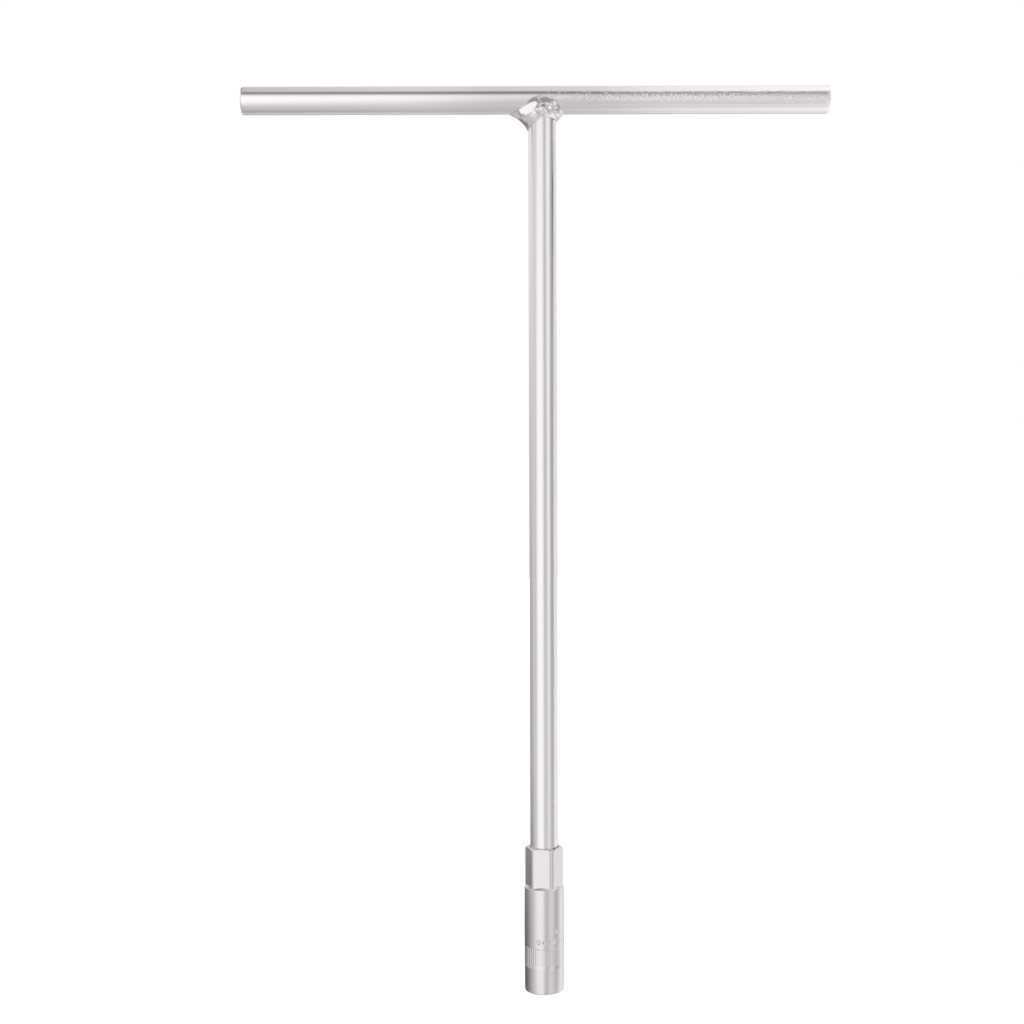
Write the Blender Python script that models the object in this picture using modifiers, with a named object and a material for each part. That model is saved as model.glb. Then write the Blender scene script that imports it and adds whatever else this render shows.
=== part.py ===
"""T-handle socket wrench, built as it is made: two lengths of round rod welded into a tee,
and a hexagon socket crimped on the lower end of the shank.

Frame: +Z runs up the shank, X along the handle bar, and the origin is the centre of the
socket's mouth. Every length is in metres.
"""

import math

import bmesh
import bpy
from mathutils import Matrix, Vector

MM = 0.001

# ---------------------------------------------------------------- driving dimensions
OVERALL_HEIGHT = 300.0 * MM  # socket mouth to the top of the handle bar
HANDLE_LENGTH = 194.8 * MM
HANDLE_SHIFT = -2.3 * MM  # the bar's middle lies this far from the shank's axis
HANDLE_DIAMETER = 9.2 * MM
SHANK_DIAMETER = 9.3 * MM
ROD_END_ROUNDING = 0.6 * MM

NUT_ACROSS_FLATS = 8.0 * MM  # the bolt head that the socket turns
RECESS_PLAY = 0.05 * MM  # between a nut's flat and the recess's flat
RECESS_DEPTH = 14.0 * MM
LEAD_IN = 0.32 * MM  # how far the countersink's rim stands outside the recess's corners
LEAD_IN_SLOPE = math.radians(45)

SOCKET_LENGTH = 47.5 * MM
BODY_WALL = 1.97 * MM  # outside the recess's corners
BODY_HEIGHT = 34.2 * MM  # where the round body starts to roll over into the shoulder
SHOULDER_SLOPE = math.radians(54)
SHOULDER_ROUNDING = 0.4 * MM
MOUTH_ROUNDING = 0.4 * MM

COLLAR_WALL = 0.85 * MM  # the hexagon's flats stand this far outside the rear bore
COLLAR_CORNER_RADIUS = 1.8 * MM
COLLAR_CHAMFER_SLOPE = math.radians(60)
COLLAR_TURN = math.radians(-8.2)  # the crimped hexagon's turn about the shank

KNURL_BOTTOM = 9.6 * MM
KNURL_HEIGHT = 5.0 * MM
KNURL_COUNT = 44
KNURL_DEPTH = 0.25 * MM

SHANK_FIT_GAP = 0.25 * MM  # between the shank and the socket's rear bore
SHANK_SEAT_GAP = 0.3 * MM  # between the shank's end and the ledge that it stands on
SHANK_INSERTION = 13.6 * MM
SEAT_LEDGE = 1.0 * MM  # width of that ledge

ROOT_GAP = 0.3 * MM  # between the bar's underside and the shank's square-cut top
WELD_GAP = 0.3 * MM  # between the bead and both rods
WELD_LONG_REACH = 6.6 * MM  # the bead's leg along the bar, on the bar's longer arm
WELD_SHORT_REACH = 2.3 * MM  # and on its shorter arm
WELD_LONG_DROP = 5.8 * MM  # the bead's leg down the shank, under the longer arm
WELD_SHORT_DROP = 2.2 * MM
WELD_WRAP = math.radians(95)  # how far round the bar the bead climbs, from its underside
WELD_CROWN = 1.5 * MM  # how far the bead stands out in front and behind
WELD_HOLLOW = 1.0 * MM  # how far it is hollowed under the longer arm

ROUND_SEGMENTS = 48
ARC_SEGMENTS = 4
WELD_SIDES = 40
WELD_RINGS = 8
OVERCUT = 1.0 * MM  # a cutter runs this far past the face that it opens
MERGE = 0.01 * MM

# ---------------------------------------------------------------- what follows from them
HANDLE_RADIUS = HANDLE_DIAMETER / 2
SHANK_RADIUS = SHANK_DIAMETER / 2
HANDLE_AXIS_Z = OVERALL_HEIGHT - HANDLE_RADIUS
HANDLE_UNDERSIDE_Z = HANDLE_AXIS_Z - HANDLE_RADIUS
SHANK_TOP_Z = HANDLE_UNDERSIDE_Z - ROOT_GAP

HEX_CORNER = 1 / math.cos(math.radians(30))  # corner radius over flat radius
RECESS_CORNER_RADIUS = (NUT_ACROSS_FLATS / 2 + RECESS_PLAY) * HEX_CORNER
COUNTERSINK_RADIUS = RECESS_CORNER_RADIUS + LEAD_IN
BODY_RADIUS = RECESS_CORNER_RADIUS + BODY_WALL

REAR_BORE_RADIUS = SHANK_RADIUS + SHANK_FIT_GAP
RELIEF_BORE_RADIUS = SHANK_RADIUS - SEAT_LEDGE
SHANK_END_Z = SOCKET_LENGTH - SHANK_INSERTION
SEAT_Z = SHANK_END_Z - SHANK_SEAT_GAP
COLLAR_FLAT_RADIUS = REAR_BORE_RADIUS + COLLAR_WALL


# ---------------------------------------------------------------- modelling helpers
def clear_scene():
    """Removes whatever the scene starts with."""
    for obj in list(bpy.data.objects):
        bpy.data.objects.remove(obj, do_unlink=True)


def new_collection(name):
    """A collection linked to the scene."""
    collection = bpy.data.collections.new(name)
    bpy.context.scene.collection.children.link(collection)
    return collection


def plated_steel(name, colour, roughness):
    """A bright plated metal."""
    material = bpy.data.materials.new(name)
    material.use_nodes = True
    shader = material.node_tree.nodes["Principled BSDF"]
    shader.inputs["Base Color"].default_value = (*colour, 1)
    shader.inputs["Metallic"].default_value = 1.0
    shader.inputs["Roughness"].default_value = roughness
    return material


def add_mesh(name, mesh, collection):
    """An object for a mesh, in a collection."""
    obj = bpy.data.objects.new(name, mesh)
    collection.objects.link(obj)
    return obj


def add_form(name, form, collection):
    """An object for a finished bmesh."""
    mesh = bpy.data.meshes.new(name)
    form.to_mesh(mesh)
    form.free()
    return add_mesh(name, mesh, collection)


def as_cutter(obj):
    """Marks a helper that only shapes other objects."""
    obj.hide_render = True
    obj.display_type = "WIRE"
    return obj


def rod(name, radius, length, collection, sides=ROUND_SEGMENTS):
    """A cylinder or prism along Z, centred on its own origin."""
    form = bmesh.new()
    bmesh.ops.create_cone(
        form, cap_ends=True, segments=sides, radius1=radius, radius2=radius, depth=length
    )
    return add_form(name, form, collection)


def turned(name, profile, collection):
    """A solid of revolution about Z. The profile runs top to bottom at +X."""
    mesh = bpy.data.meshes.new(name)
    points = [(radius, 0, height) for radius, height in profile]
    mesh.from_pydata(points, [(i, i + 1) for i in range(len(points) - 1)], [])
    obj = add_mesh(name, mesh, collection)
    screw = obj.modifiers.new("turning", "SCREW")
    screw.axis = "Z"
    screw.steps = ROUND_SEGMENTS
    screw.render_steps = ROUND_SEGMENTS
    screw.use_merge_vertices = True
    screw.merge_threshold = MERGE
    return obj


def arc(centre_radius, centre_height, radius, start, end):
    """Points of a profile's arc, from one angle to another, measured from +X."""
    angles = [start + (end - start) * i / ARC_SEGMENTS for i in range(ARC_SEGMENTS + 1)]
    return [
        (centre_radius + radius * math.cos(a), centre_height + radius * math.sin(a))
        for a in angles
    ]


def boolean(obj, other, operation):
    """A live Boolean with the exact solver."""
    modifier = obj.modifiers.new(f"{operation.lower()} {other.name}", "BOOLEAN")
    modifier.operation = operation
    modifier.object = other
    modifier.solver = "EXACT"


def round_ends(obj, width):
    """Rounds a rod's end edges."""
    bevel = obj.modifiers.new("end rounding", "BEVEL")
    bevel.width = width
    bevel.segments = 2
    bevel.limit_method = "ANGLE"
    bevel.angle_limit = math.radians(45)


def shade_round(obj, material):
    """Smooth shading that keeps the crisp edges, and the part's finish."""
    obj.data.materials.append(material)
    obj.data.shade_smooth()
    if obj.data.polygons:
        obj.data.set_sharp_from_angle(angle=math.radians(30))


# ---------------------------------------------------------------- the two rods
def make_handle_bar(parts, material):
    """A plain length of rod laid across the shank's top, its end edges rounded."""
    bar = rod("handle_bar", HANDLE_RADIUS, HANDLE_LENGTH, parts)
    bar.location = (HANDLE_SHIFT, 0, HANDLE_AXIS_Z)
    bar.rotation_euler = (0, math.radians(90), 0)
    round_ends(bar, ROD_END_ROUNDING)
    shade_round(bar, material)


def make_shank(parts, material):
    """The long rod, cut square under the bar and seated in the socket."""
    shank = rod("shank", SHANK_RADIUS, SHANK_TOP_Z - SHANK_END_Z, parts)
    shank.location = (0, 0, (SHANK_TOP_Z + SHANK_END_Z) / 2)
    round_ends(shank, ROD_END_ROUNDING)
    shade_round(shank, material)


# ---------------------------------------------------------------- weld
def longer_arm_share(around):
    """1 under the bar's longer arm, at -X, falling to 0 under the shorter one."""
    return (1 - math.cos(around)) / 2


def shank_toe(around):
    """Where the bead's foot meets the shank, at an angle round it from +X."""
    extra = (WELD_LONG_DROP - WELD_SHORT_DROP) * longer_arm_share(around) ** 3
    height = HANDLE_UNDERSIDE_Z - WELD_SHORT_DROP - extra
    return Vector(
        (SHANK_RADIUS * math.cos(around), SHANK_RADIUS * math.sin(around), height)
    )


def handle_toe(around):
    """Where the bead meets the bar: far along its underside, and up its front and back."""
    share = longer_arm_share(around)
    reach = WELD_SHORT_REACH + (WELD_LONG_REACH - WELD_SHORT_REACH) * share
    across = math.sin(around)
    sharpness = 1.3 + 1.4 * share  # the bead narrows to a tongue under the longer arm
    wrap = math.copysign(WELD_WRAP * abs(across) ** sharpness, across)
    return Vector(
        (
            (SHANK_RADIUS + reach) * math.cos(around),
            HANDLE_RADIUS * math.sin(wrap),
            HANDLE_AXIS_Z - HANDLE_RADIUS * math.cos(wrap),
        )
    )


def bead_point(around, along):
    """A point of the bead's face, from its foot (0) to its toe on the bar (1)."""
    outwards = Vector(
        (math.cos(around), math.sin(around), -0.8 * abs(math.cos(around)))
    ).normalized()
    hollow = WELD_HOLLOW * max(0.0, -math.cos(around)) ** 3
    crown = WELD_CROWN * math.sin(around) ** 2 - hollow
    straight = shank_toe(around).lerp(handle_toe(around), along)
    return straight + outwards * crown * math.sin(math.pi * along)


def make_weld_bead(parts, cutters, material):
    """The filler metal round the joint: a face lofted from the shank's toe to the bar's toe,
    closed inside the rods, which are then cut out of it."""
    form = bmesh.new()
    grid = [
        [
            form.verts.new(bead_point(math.tau * side / WELD_SIDES, ring / WELD_RINGS))
            for side in range(WELD_SIDES)
        ]
        for ring in range(WELD_RINGS + 1)
    ]
    inside_shank = form.verts.new((0, 0, HANDLE_UNDERSIDE_Z - WELD_SHORT_DROP))
    inside_handle = form.verts.new((0, 0, HANDLE_AXIS_Z))
    for side in range(WELD_SIDES):
        after = (side + 1) % WELD_SIDES
        for lower, upper in zip(grid, grid[1:]):
            form.faces.new((lower[side], lower[after], upper[after], upper[side]))
        form.faces.new((grid[0][after], grid[0][side], inside_shank))
        form.faces.new((grid[-1][side], grid[-1][after], inside_handle))
    bead = add_form("weld_bead", form, parts)

    handle_hole = rod("handle_hole_cutter", HANDLE_RADIUS + WELD_GAP, HANDLE_LENGTH, cutters)
    handle_hole.location = (HANDLE_SHIFT, 0, HANDLE_AXIS_Z)
    handle_hole.rotation_euler = (0, math.radians(90), 0)
    hole_top = SHANK_TOP_Z + WELD_GAP
    hole_depth = WELD_LONG_DROP + OVERCUT + WELD_GAP
    shank_hole = rod("shank_hole_cutter", SHANK_RADIUS + WELD_GAP, hole_depth, cutters)
    shank_hole.location = (0, 0, hole_top - hole_depth / 2)
    boolean(bead, as_cutter(handle_hole), "DIFFERENCE")
    boolean(bead, as_cutter(shank_hole), "DIFFERENCE")
    shade_round(bead, material)


# ---------------------------------------------------------------- socket
def make_collar_form(cutters):
    """The crimped hexagon: rounded corners, and a steep chamfer round its top."""
    bottom = BODY_HEIGHT - SHOULDER_ROUNDING
    height = SOCKET_LENGTH - bottom
    collar = rod("collar_form", COLLAR_FLAT_RADIUS * HEX_CORNER, height, cutters, sides=6)
    collar.location = (0, 0, SOCKET_LENGTH - height / 2)
    # A six-sided prism has a corner on Y, so a quarter turn puts one on X.
    collar.rotation_euler = (0, 0, COLLAR_TURN + math.radians(90))
    weights = collar.data.attributes.new("bevel_weight_edge", "FLOAT", "EDGE")
    for edge in collar.data.edges:
        low, high = (collar.data.vertices[v].co.z for v in edge.vertices)
        weights.data[edge.index].value = 1.0 if abs(high - low) > height / 2 else 0.0
    bevel = collar.modifiers.new("corner rounding", "BEVEL")
    bevel.limit_method = "WEIGHT"
    bevel.width = COLLAR_CORNER_RADIUS * math.tan(math.radians(30))
    bevel.segments = ARC_SEGMENTS

    overhang = COLLAR_FLAT_RADIUS  # the envelope's cone runs this far past the flats
    cone_foot = SOCKET_LENGTH - overhang * math.tan(COLLAR_CHAMFER_SLOPE)
    profile = [
        (0, SOCKET_LENGTH),
        (COLLAR_FLAT_RADIUS, SOCKET_LENGTH),
        (COLLAR_FLAT_RADIUS + overhang, cone_foot),
        (COLLAR_FLAT_RADIUS + overhang, min(cone_foot, bottom) - OVERCUT),
        (0, min(cone_foot, bottom) - OVERCUT),
    ]
    boolean(collar, as_cutter(turned("collar_chamfer_form", profile, cutters)), "INTERSECT")
    return as_cutter(collar)


def make_bore_form(cutters):
    """The rear bore that takes the shank, and the narrower relief bore under its seat."""
    profile = [
        (0, SOCKET_LENGTH + OVERCUT),
        (REAR_BORE_RADIUS, SOCKET_LENGTH + OVERCUT),
        (REAR_BORE_RADIUS, SEAT_Z),
        (RELIEF_BORE_RADIUS, SEAT_Z),
        (RELIEF_BORE_RADIUS, RECESS_DEPTH - OVERCUT),
        (0, RECESS_DEPTH - OVERCUT),
    ]
    return as_cutter(turned("bore_form", profile, cutters))


def make_recess_form(cutters):
    """The hexagon that fits over a nut, corners on the X axis."""
    depth = RECESS_DEPTH + OVERCUT
    recess = rod("recess_form", RECESS_CORNER_RADIUS, depth, cutters, sides=6)
    recess.location = (0, 0, RECESS_DEPTH - depth / 2)
    recess.rotation_euler = (0, 0, math.radians(90))
    return as_cutter(recess)


def make_countersink_form(cutters):
    """The cone that leads a nut into the recess."""
    slope = math.tan(LEAD_IN_SLOPE)
    profile = [
        (0, COUNTERSINK_RADIUS * slope),
        (COUNTERSINK_RADIUS + OVERCUT, -OVERCUT * slope),
        (0, -OVERCUT * slope),
    ]
    return as_cutter(turned("countersink_form", profile, cutters))


def make_knurl_form(cutters):
    """A ring of upright square bars, each cutting one V groove of the straight knurl."""
    half_diagonal = 2 * KNURL_DEPTH
    side = half_diagonal * math.sqrt(2)
    form = bmesh.new()
    for i in range(KNURL_COUNT):
        place = (
            Matrix.Rotation(math.tau * i / KNURL_COUNT, 4, "Z")
            @ Matrix.Translation((BODY_RADIUS - KNURL_DEPTH + half_diagonal, 0, 0))
            @ Matrix.Rotation(math.radians(45), 4, "Z")
            @ Matrix.Diagonal((side, side, KNURL_HEIGHT, 1))
        )
        bmesh.ops.create_cube(form, size=1.0, matrix=place)
    knurl = add_form("knurl_form", form, cutters)
    knurl.location = (0, 0, KNURL_BOTTOM + KNURL_HEIGHT / 2)
    return as_cutter(knurl)


def make_socket(parts, cutters, material):
    """The turned body with its crimped hexagon, bores, recess and knurled band."""
    shoulder = arc(
        BODY_RADIUS - SHOULDER_ROUNDING,
        BODY_HEIGHT,
        SHOULDER_ROUNDING,
        math.radians(90) - SHOULDER_SLOPE,
        0,
    )
    slope_radius, slope_foot = shoulder[0]
    slope_top = slope_foot + (slope_radius - REAR_BORE_RADIUS) * math.tan(SHOULDER_SLOPE)
    mouth = arc(
        BODY_RADIUS - MOUTH_ROUNDING, MOUTH_ROUNDING, MOUTH_ROUNDING, 0, math.radians(-90)
    )
    profile = [(0, slope_top), (REAR_BORE_RADIUS, slope_top), *shoulder, *mouth, (0, 0)]
    socket = turned("socket", profile, parts)
    boolean(socket, make_collar_form(cutters), "UNION")
    boolean(socket, make_bore_form(cutters), "DIFFERENCE")
    boolean(socket, make_recess_form(cutters), "DIFFERENCE")
    boolean(socket, make_countersink_form(cutters), "DIFFERENCE")
    boolean(socket, make_knurl_form(cutters), "DIFFERENCE")
    shade_round(socket, material)


# ---------------------------------------------------------------- assembly
def main():
    """Builds the whole wrench."""
    clear_scene()
    parts = new_collection("t_handle_socket_wrench")
    cutters = new_collection("cutters")
    rod_plating = plated_steel("rod_plating", (0.74, 0.73, 0.74), 0.22)
    weld_plating = plated_steel("weld_plating", (0.74, 0.73, 0.74), 0.12)
    socket_plating = plated_steel("socket_plating", (0.68, 0.67, 0.68), 0.25)
    make_handle_bar(parts, rod_plating)
    make_shank(parts, rod_plating)
    make_weld_bead(parts, cutters, weld_plating)
    make_socket(parts, cutters, socket_plating)


main()
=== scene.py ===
# %% [markdown]
# # A T-handle socket wrench in bright plate
#
# The real tool is four pieces of steel: a cross bar, a long shank, the weld that joins them, and a
# small hexagon socket crimped onto the shank's lower end. All of it went through one plating bath,
# so there is hardly any colour here. What the eye reads is reflection: soft stripes along the round
# rods, hard flats on the crimped collar, and a lumpy bead of weld.
#
# So this lesson spends its effort on two things: surfaces that are round, flat or lumpy in the
# right places, and a studio whose soft panels give those surfaces something to reflect.

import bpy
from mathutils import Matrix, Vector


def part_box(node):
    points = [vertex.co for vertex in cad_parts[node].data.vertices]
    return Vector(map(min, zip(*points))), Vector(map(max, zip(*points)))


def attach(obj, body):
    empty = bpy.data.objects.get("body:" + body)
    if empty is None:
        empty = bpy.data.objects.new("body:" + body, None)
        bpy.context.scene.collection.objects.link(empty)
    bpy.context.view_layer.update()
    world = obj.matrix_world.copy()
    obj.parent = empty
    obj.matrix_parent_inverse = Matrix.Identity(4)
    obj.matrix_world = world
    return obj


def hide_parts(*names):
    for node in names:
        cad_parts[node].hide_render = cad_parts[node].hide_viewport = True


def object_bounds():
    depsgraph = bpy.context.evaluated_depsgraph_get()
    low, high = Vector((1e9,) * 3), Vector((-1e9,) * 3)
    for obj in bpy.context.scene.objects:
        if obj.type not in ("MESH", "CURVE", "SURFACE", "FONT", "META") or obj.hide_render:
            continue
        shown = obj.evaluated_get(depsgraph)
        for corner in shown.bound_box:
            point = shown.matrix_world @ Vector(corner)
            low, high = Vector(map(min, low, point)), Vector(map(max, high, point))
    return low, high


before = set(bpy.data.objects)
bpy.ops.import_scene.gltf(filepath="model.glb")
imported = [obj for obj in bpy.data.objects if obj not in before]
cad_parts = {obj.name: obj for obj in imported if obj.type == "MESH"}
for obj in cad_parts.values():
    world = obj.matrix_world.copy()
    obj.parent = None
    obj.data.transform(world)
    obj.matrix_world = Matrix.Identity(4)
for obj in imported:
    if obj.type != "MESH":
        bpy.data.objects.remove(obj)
cad_low, cad_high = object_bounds()

# %% The modules and units of the lesson
import math

import bmesh
import bpy
from mathutils import Matrix, Vector, noise

MM = 0.001
FULL_TURN = math.tau
print("Blender", bpy.app.version_string)

# %% [markdown]
# ## Sizes
#
# The frame already knows where everything is. Each rod's radius, length and place comes from the
# box of its CAD node, so a change in the model carries through to here. Only what a box can't tell,
# such as the collar's width across its flats, is written down as a value.

# %% Read the rods and the socket from the frame
bar_low, bar_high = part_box("handle_bar")
shank_low, shank_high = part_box("shank")
socket_low, socket_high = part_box("socket")

BAR_RADIUS = (bar_high.z - bar_low.z) / 2
BAR_AXIS_Z = (bar_high.z + bar_low.z) / 2
BAR_MIDDLE_X = (bar_low.x + bar_high.x) / 2
BAR_HALF_LENGTH = (bar_high.x - bar_low.x) / 2
SHANK_RADIUS = (shank_high.y - shank_low.y) / 2
BODY_RADIUS = (socket_high.y - socket_low.y) / 2
SOCKET_TOP_Z = socket_high.z
print(f"bar radius {BAR_RADIUS / MM:.2f} mm, shank radius {SHANK_RADIUS / MM:.2f} mm")
print(f"socket radius {BODY_RADIUS / MM:.2f} mm, length {SOCKET_TOP_Z / MM:.1f} mm")

# %% [markdown]
# ## The camera
#
# The tool is seen square on, from a little under half a metre, with a normal lens. At that distance
# the socket is seen from a little above and the bar from a little below, which is what gives the
# socket's mouth its curved lower edge.

# %% Camera
FOCAL_LENGTH = 50.27  # mm, on a 36 mm sensor
CAMERA_PLACE = Vector((-10.36 * MM, -475.2 * MM, 158.6 * MM))
CAMERA_ROLL = math.radians(-0.155)

camera_data = bpy.data.cameras.new("camera")
camera_data.lens = FOCAL_LENGTH
camera_data.clip_start = 0.01
camera = bpy.data.objects.new("camera", camera_data)
bpy.context.scene.collection.objects.link(camera)
camera.matrix_world = (
    Matrix.Translation(CAMERA_PLACE)
    @ Matrix.Rotation(math.radians(90), 4, "X")
    @ Matrix.Rotation(CAMERA_ROLL, 4, "Z")
)
bpy.context.scene.camera = camera
print("camera at", [round(value, 4) for value in CAMERA_PLACE])

# %% [markdown]
# ## Building nodes
#
# Every material, the studio and the Geometry Nodes tree are wired in the same way, so one helper
# adds a node, sets its options, fills its inputs with a value or a link, and hands back its outputs.


# %% The node helper and the colour helper
def add_node(tree, kind, inputs=None, **options):
    """Add a node and return its outputs. A socket among the inputs is linked, the rest are values."""
    node = tree.nodes.new(kind)
    for option, value in options.items():
        setattr(node, option, value)
    for name, value in (inputs or {}).items():
        if isinstance(value, bpy.types.NodeSocket):
            tree.links.new(value, node.inputs[name])
        else:
            node.inputs[name].default_value = value
    return node.outputs


def linear_colour(hex_text):
    """An sRGB hex value as the linear RGBA that shaders work in."""
    channels = [int(hex_text[i : i + 2], 16) / 255 for i in (1, 3, 5)]
    return [c / 12.92 if c <= 0.04045 else ((c + 0.055) / 1.055) ** 2.4 for c in channels] + [1]


print("half grey, #808080, is", round(linear_colour("#808080")[0], 3), "in linear light")

# %% [markdown]
# ## The studio
#
# A mirror-like rod shows the whole room, squeezed into stripes. A photographer hangs soft panels
# and dark cloths around such a tool until its stripes look right. Here the world's background plays
# that studio: even, pale walls, and a list of soft panels, each lighter or darker than the walls.
# A panel has a direction, 0 where the camera stands and positive to its right, and a height above
# or below the level line, with its half sizes, all in degrees. It fades softly to nothing at its
# edge. A slanted panel drifts to the right as it rises.

# %% The studio's panels
WALL_LEVEL = 0.86
# name: (direction, half width, height, half height, slant, lighter or darker by)
PANELS = {
    "key softbox": (-20, 40, -6, 66, 0.15, 0.36),
    "wing of the key softbox": (-46, 26, 2, 44, 0.2, 0.20),
    "gap beside the camera": (15, 24, -8, 66, 0.2, -0.22),
    "fill softbox": (43, 24, 8, 32, 0.0, 0.22),
    "dark cloth on the right": (78, 32, 16, 76, 0.4, -0.40),
    "shaded wall on the left": (-138, 90, -9, 25, 0.0, -0.35),
    "dark table edge on the left": (-135, 105, -20, 12, 0.0, -0.42),
    "gap on the left": (-67, 15, -2, 17, 0.0, -0.16),
    "dark ceiling cloth": (30, 110, 48, 27, 0.0, -0.68),
    "hem of the ceiling cloth": (15, 17, 27, 15, 0.0, -0.64),
    "thin card on the right": (14, 11, -10, 9, 0.0, 0.12),
    "thin shade on the right": (14, 11, -42, 9, 0.0, -0.16),
    "card low on the right": (115, 110, -70, 50, 0.0, 0.22),
    "card behind on the left": (-122, 50, 26, 30, 0.0, 0.24),
    "card behind on the right": (115, 32, -14, 40, 0.0, 0.20),
    "dark strip high on the right": (95, 20, 18, 14, 0.0, -0.55),
    "low shade behind": (-155, 62, -60, 40, 0.0, -0.22),
    "card high on the left": (-97, 48, 40, 36, 0.0, 0.50),
    "card high on the right": (104, 42, 50, 33, 0.0, 0.45),
    "ceiling cloth behind on the right": (125, 42, 48, 27, 0.0, -0.60),
    "ceiling cloth behind on the left": (-125, 42, 48, 27, 0.0, -0.60),
}
CEILING_TILT = 1.3  # how much lighter the ceiling gets towards the right
FLOOR_TILT = 0.55  # the same for the floor
FLOOR_SHADE = -0.17  # how much darker it is straight below
print(len(PANELS), "soft panels in the studio")


# %% Directions in the studio, and its bare walls
def compass_and_rise(tree, axes):
    """A ray's compass direction and its height, in degrees."""
    nearer = add_node(tree, "ShaderNodeMath", {0: axes["Y"], 1: -1.0}, operation="MULTIPLY")[0]
    compass = add_node(tree, "ShaderNodeMath", {0: axes["X"], 1: nearer}, operation="ARCTAN2")[0]
    compass = add_node(tree, "ShaderNodeMath", {0: compass}, operation="DEGREES")[0]
    rise = add_node(tree, "ShaderNodeMath", {0: axes["Z"]}, operation="ARCSINE")[0]
    rise = add_node(tree, "ShaderNodeMath", {0: rise}, operation="DEGREES")[0]
    return compass, rise


def bare_level(tree, axes):
    """How bright the bare studio is. Straight up and straight down all compass directions meet, so
    what changes there goes by X."""
    upper = add_node(tree, "ShaderNodeMath", {0: axes["Z"], 1: 0.0}, operation="MAXIMUM")[0]
    lower = add_node(tree, "ShaderNodeMath", {0: axes["Z"], 1: 0.0}, operation="MINIMUM")[0]
    upper = add_node(tree, "ShaderNodeMath", {0: upper, 1: 2.0}, operation="POWER")[0]
    lower = add_node(tree, "ShaderNodeMath", {0: lower, 1: 2.0}, operation="POWER")[0]
    tilt = add_node(tree, "ShaderNodeMath", {0: upper, 1: CEILING_TILT}, operation="MULTIPLY")[0]
    tilt = add_node(
        tree, "ShaderNodeMath", {0: lower, 1: FLOOR_TILT, 2: tilt}, operation="MULTIPLY_ADD"
    )[0]
    level = add_node(
        tree, "ShaderNodeMath", {0: axes["X"], 1: tilt, 2: WALL_LEVEL}, operation="MULTIPLY_ADD"
    )[0]
    lowest = add_node(tree, "ShaderNodeMath", {0: lower, 1: 2.0}, operation="POWER")[0]
    return add_node(
        tree, "ShaderNodeMath", {0: lowest, 1: FLOOR_SHADE, 2: level}, operation="MULTIPLY_ADD"
    )[0]


print(f"bare walls {WALL_LEVEL}, straight below {WALL_LEVEL + FLOOR_SHADE:.2f}")


# %% One soft panel
def with_panel(tree, compass, rise, panel, so_far):
    """Adds a panel to the brightness so far."""
    direction, half_width, height, half_height, slant, change = panel
    across = add_node(
        tree, "ShaderNodeMath", {0: rise, 1: -slant, 2: compass}, operation="MULTIPLY_ADD"
    )[0]
    across = add_node(tree, "ShaderNodeMath", {0: across, 1: direction}, operation="SUBTRACT")[0]
    across = add_node(tree, "ShaderNodeMath", {0: across, 1: 180.0, 2: -180.0}, operation="WRAP")[0]
    across = add_node(tree, "ShaderNodeMath", {0: across}, operation="ABSOLUTE")[0]
    upwards = add_node(tree, "ShaderNodeMath", {0: rise, 1: height}, operation="SUBTRACT")[0]
    upwards = add_node(tree, "ShaderNodeMath", {0: upwards}, operation="ABSOLUTE")[0]
    wide = add_node(
        tree,
        "ShaderNodeMapRange",
        {"Value": across, "From Min": half_width, "From Max": 0.0, "To Max": change},
        interpolation_type="SMOOTHERSTEP",
    )["Result"]
    tall = add_node(
        tree,
        "ShaderNodeMapRange",
        {"Value": upwards, "From Min": half_height, "From Max": 0.0},
        interpolation_type="SMOOTHERSTEP",
    )["Result"]
    return add_node(
        tree, "ShaderNodeMath", {0: wide, 1: tall, 2: so_far}, operation="MULTIPLY_ADD"
    )[0]


# %% Wire the studio
def wire_studio(world):
    """A world that lights and mirrors as the studio, and looks plain white behind the tool."""
    world.use_nodes = True
    tree = world.node_tree
    tree.nodes.clear()
    towards = add_node(tree, "ShaderNodeTexCoord")["Generated"]
    axes = add_node(tree, "ShaderNodeSeparateXYZ", {"Vector": towards})
    compass, rise = compass_and_rise(tree, axes)
    level = bare_level(tree, axes)
    for panel in PANELS.values():
        level = with_panel(tree, compass, rise, panel, level)
    white = (1.0, 1.0, 1.0, 1.0)
    studio = add_node(tree, "ShaderNodeBackground", {"Color": white, "Strength": level})[0]
    plain = add_node(tree, "ShaderNodeBackground", {"Color": white, "Strength": 1.0})[0]
    seen = add_node(tree, "ShaderNodeLightPath")["Is Camera Ray"]
    both = add_node(tree, "ShaderNodeMixShader", {0: seen, 1: studio, 2: plain})[0]
    add_node(tree, "ShaderNodeOutputWorld", {"Surface": both})


world = bpy.data.worlds.new("studio")
bpy.context.scene.world = world
wire_studio(world)
bpy.context.scene.view_settings.view_transform = "Standard"
print(len(world.node_tree.nodes), "nodes make the studio")

# %% [markdown]
# ## The floor
#
# A large pale sheet lies just under the socket's mouth. It glows as an over-lit studio sweep does,
# so it stays a plain white, and the metal doesn't mirror it, because the studio's own panels
# already stand for the table.

# %% Floor
FLOOR_SIZE = 6.0
FLOOR_GAP = 1.0 * MM


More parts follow.
